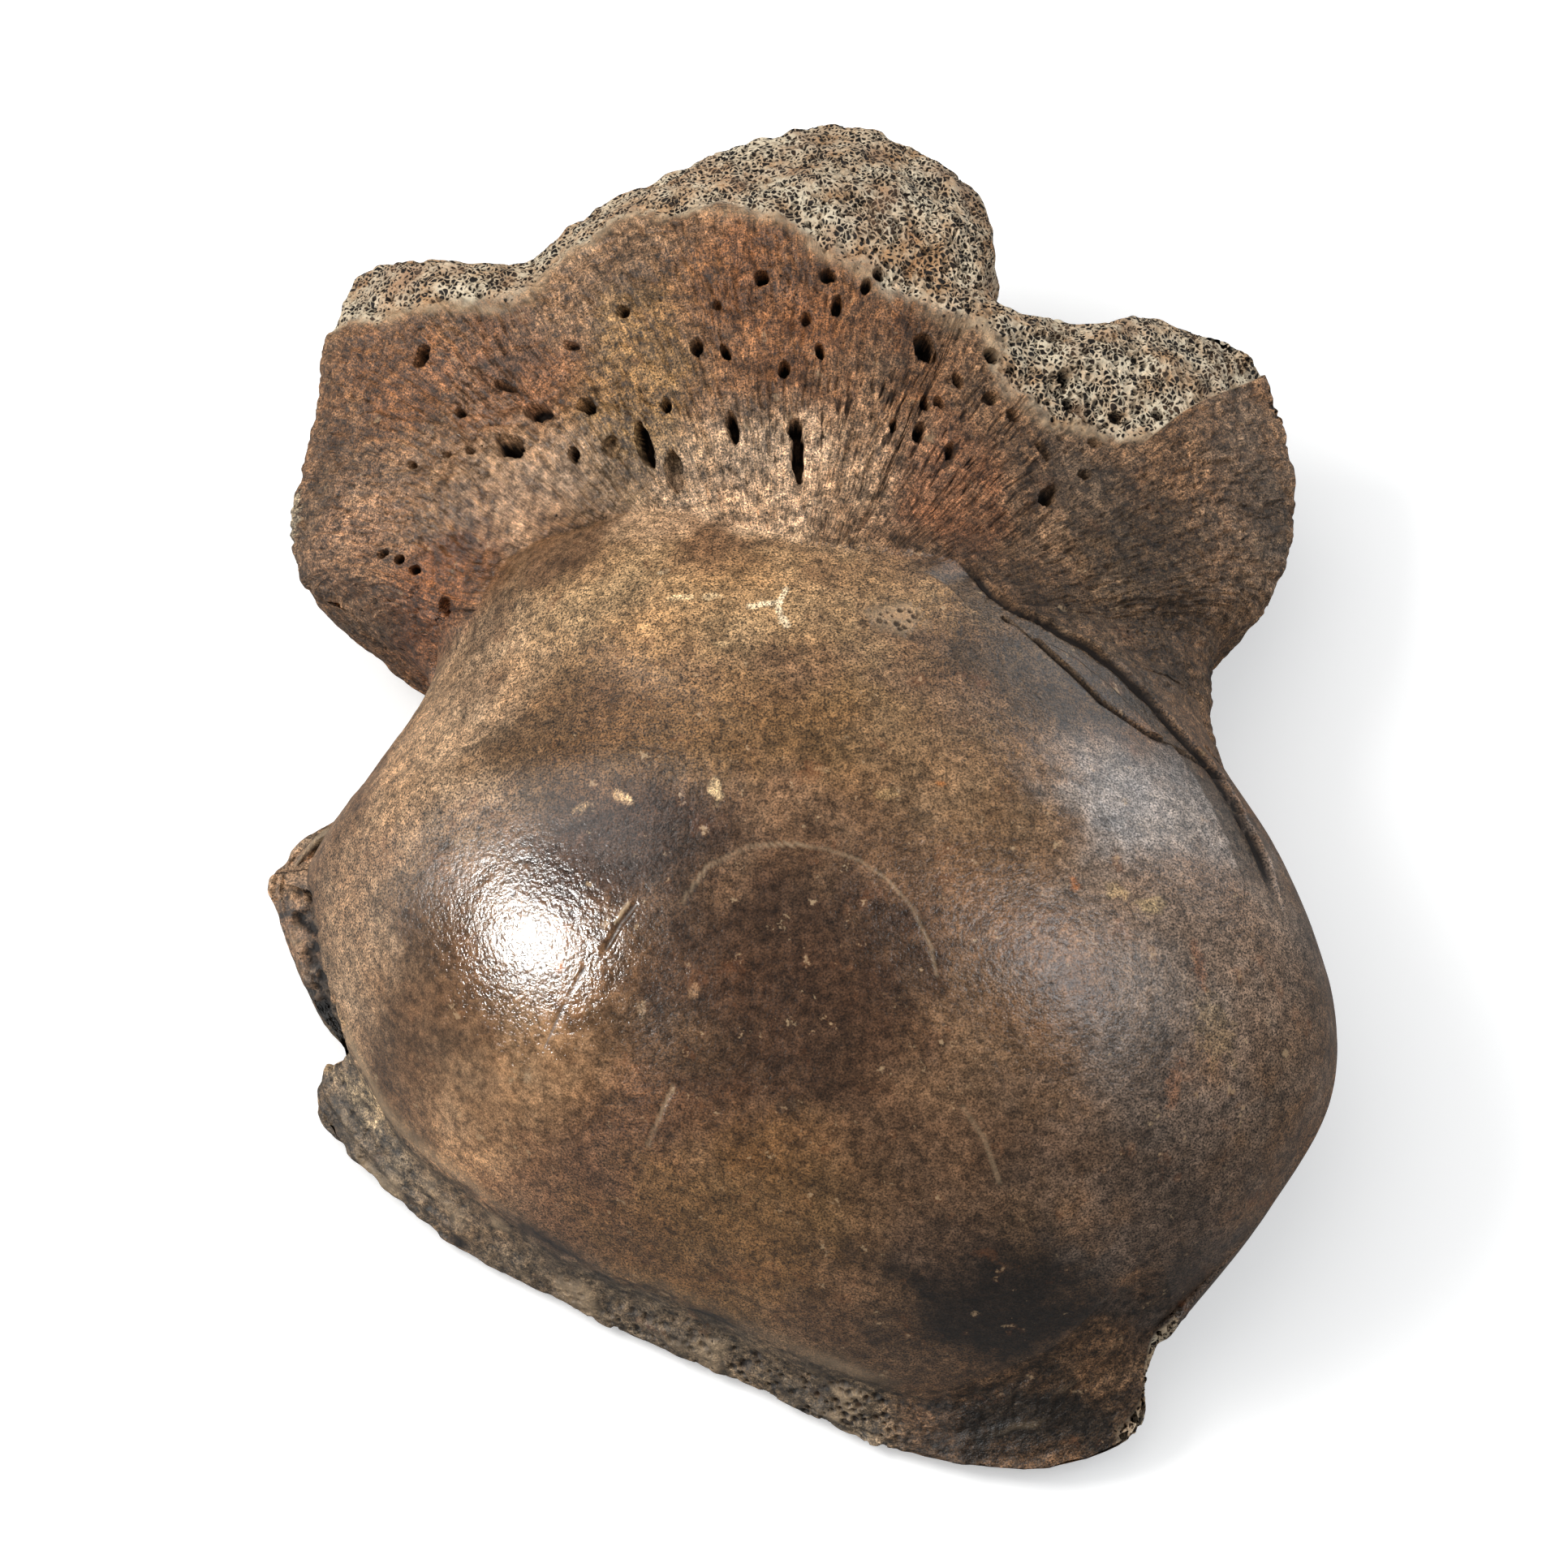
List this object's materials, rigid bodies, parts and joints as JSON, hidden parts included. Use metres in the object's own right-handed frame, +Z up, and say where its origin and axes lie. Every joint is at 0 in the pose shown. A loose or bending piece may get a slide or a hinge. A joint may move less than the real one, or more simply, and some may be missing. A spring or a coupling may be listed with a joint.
{
  "type": "fossil mammoth limb bone ball end",
  "caption": "Loose ball end of a mammoth's limb bone: a smooth joint ball with a porous crest of lobes behind it, lying on its rough growth surface.",
  "frame": {"origin": "on the floor, under the middle of the bone's box", "axes": "+Z up from the floor; +Y from the joint ball to the crest; +X to the right of someone who looks along +Y"},
  "size_m": [0.2393, 0.3012, 0.1179],
  "materials": {
    "bone": "brown fossil bone, waxed to a soft gloss on the joint ball, dull and porous on the crest and rim"
  },
  "bodies": {
    "root": {"bone": "bone"}
  },
  "joints": []
}
